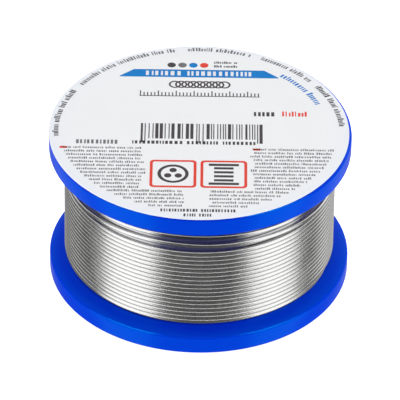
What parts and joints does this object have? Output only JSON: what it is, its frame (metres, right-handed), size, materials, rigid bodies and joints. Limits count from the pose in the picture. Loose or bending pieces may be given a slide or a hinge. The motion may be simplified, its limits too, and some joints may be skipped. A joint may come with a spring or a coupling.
{
  "type": "solder wire spool",
  "caption": "Low round spool of soldering wire: two thick-rimmed flanges on a barrel with a bore, close-wound wire between them and a round paper label on top.",
  "frame": {"origin": "on the spool's axis, in the plane of the lower flange's outer face, which it stands on", "axes": "+Z along the bore axis, from the lower flange to the labelled upper flange; -Y towards the viewer of the picture"},
  "size_m": [0.063, 0.063, 0.0347],
  "materials": {
    "spool_plastic": "moulded polystyrene, semi-gloss",
    "solder": "drawn tin-lead wire, bright with a slight haze",
    "label_paper": "coated paper, printed"
  },
  "bodies": {
    "root": {"lower_flange": "spool_plastic", "upper_flange": "spool_plastic", "barrel": "spool_plastic", "solder_inner_layers": "solder", "solder_outer_layer": "solder", "label": "label_paper"}
  },
  "joints": []
}
